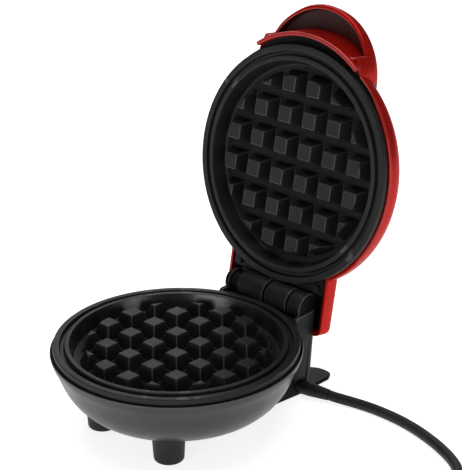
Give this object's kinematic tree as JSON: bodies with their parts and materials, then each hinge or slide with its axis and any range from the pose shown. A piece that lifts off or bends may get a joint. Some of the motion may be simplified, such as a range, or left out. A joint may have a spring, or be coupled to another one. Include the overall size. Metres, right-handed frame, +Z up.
{
  "type": "mini waffle maker",
  "caption": "Mini waffle maker with a round bowl base on a rear stand, a domed hinged lid with a half-moon handle, pegged round plates and a mains cord.",
  "frame": {"origin": "on the surface that the appliance stands on, below the middle of its bounding box, the free cord left out", "axes": "+Z up, +X along the hinge axis, the front of the base faces -Y"},
  "size_m": [0.249, 0.187, 0.1997],
  "materials": {
    "red_lacquer": "gloss metallic",
    "grey_shell": "satin",
    "black_plastic": "satin",
    "nonstick": "satin non-stick coating",
    "foot_rubber": "matte",
    "steel": "brushed",
    "bright_aluminium": "mill",
    "cord_rubber": "satin",
    "ceramic_white": "matte",
    "lead_red": "satin",
    "lead_brown": "satin",
    "lead_blue": "satin",
    "lens": "clear",
    "lamp": "clear"
  },
  "bodies": {
    "base": {"base_shell": "grey_shell", "rear_stand": "grey_shell", "base_cover": "black_plastic", "hinge_bracket": "black_plastic", "hinge_pin": "steel", "hinge_bushing": "steel", "front_foot_right": "foot_rubber", "front_foot_left": "foot_rubber", "foot_screw_right": "steel", "foot_screw_left": "steel", "rear_body_screw": "steel", "cover_screw_right": "steel", "cover_screw_left": "steel", "lower_plate": "nonstick", "lower_heating_element": "steel", "lower_heat_shield": "bright_aluminium", "thermostat": "steel", "terminal_block": "ceramic_white", "thermostat_lead": "lead_red", "hinge_lead": "lead_red", "cord_bushing": "black_plastic", "cord_stub": "cord_rubber", "cord_clamp": "black_plastic", "clamp_screw_a": "steel", "clamp_screw_b": "steel", "live_lead": "lead_brown", "neutral_lead": "lead_blue", "power_cord": "cord_rubber", "cord_coil": "cord_rubber", "cord_tie": "black_plastic", "cord_tail": "cord_rubber", "plug_body": "cord_rubber", "plug_blade_a": "steel", "plug_blade_b": "steel"},
    "lid": {"lid_shell": "red_lacquer", "hinge_leaf": "black_plastic", "leaf_screw_right": "steel", "leaf_screw_left": "steel", "upper_plate": "nonstick", "upper_heating_element": "steel", "upper_heat_shield": "bright_aluminium", "plate_screw_a": "steel", "plate_screw_b": "steel", "plate_screw_c": "steel", "thermal_fuse": "ceramic_white", "lid_lead": "lead_red", "indicator_lens": "lens", "indicator_lamp": "lamp"}
  },
  "joints": [
    {"name": "lid_hinge", "type": "hinge", "parent": "base", "child": "lid", "pos_m": [0, 0.04304, 0.04813], "axis": [1, 0, 0], "range_deg": [0, 101.3]}
  ]
}
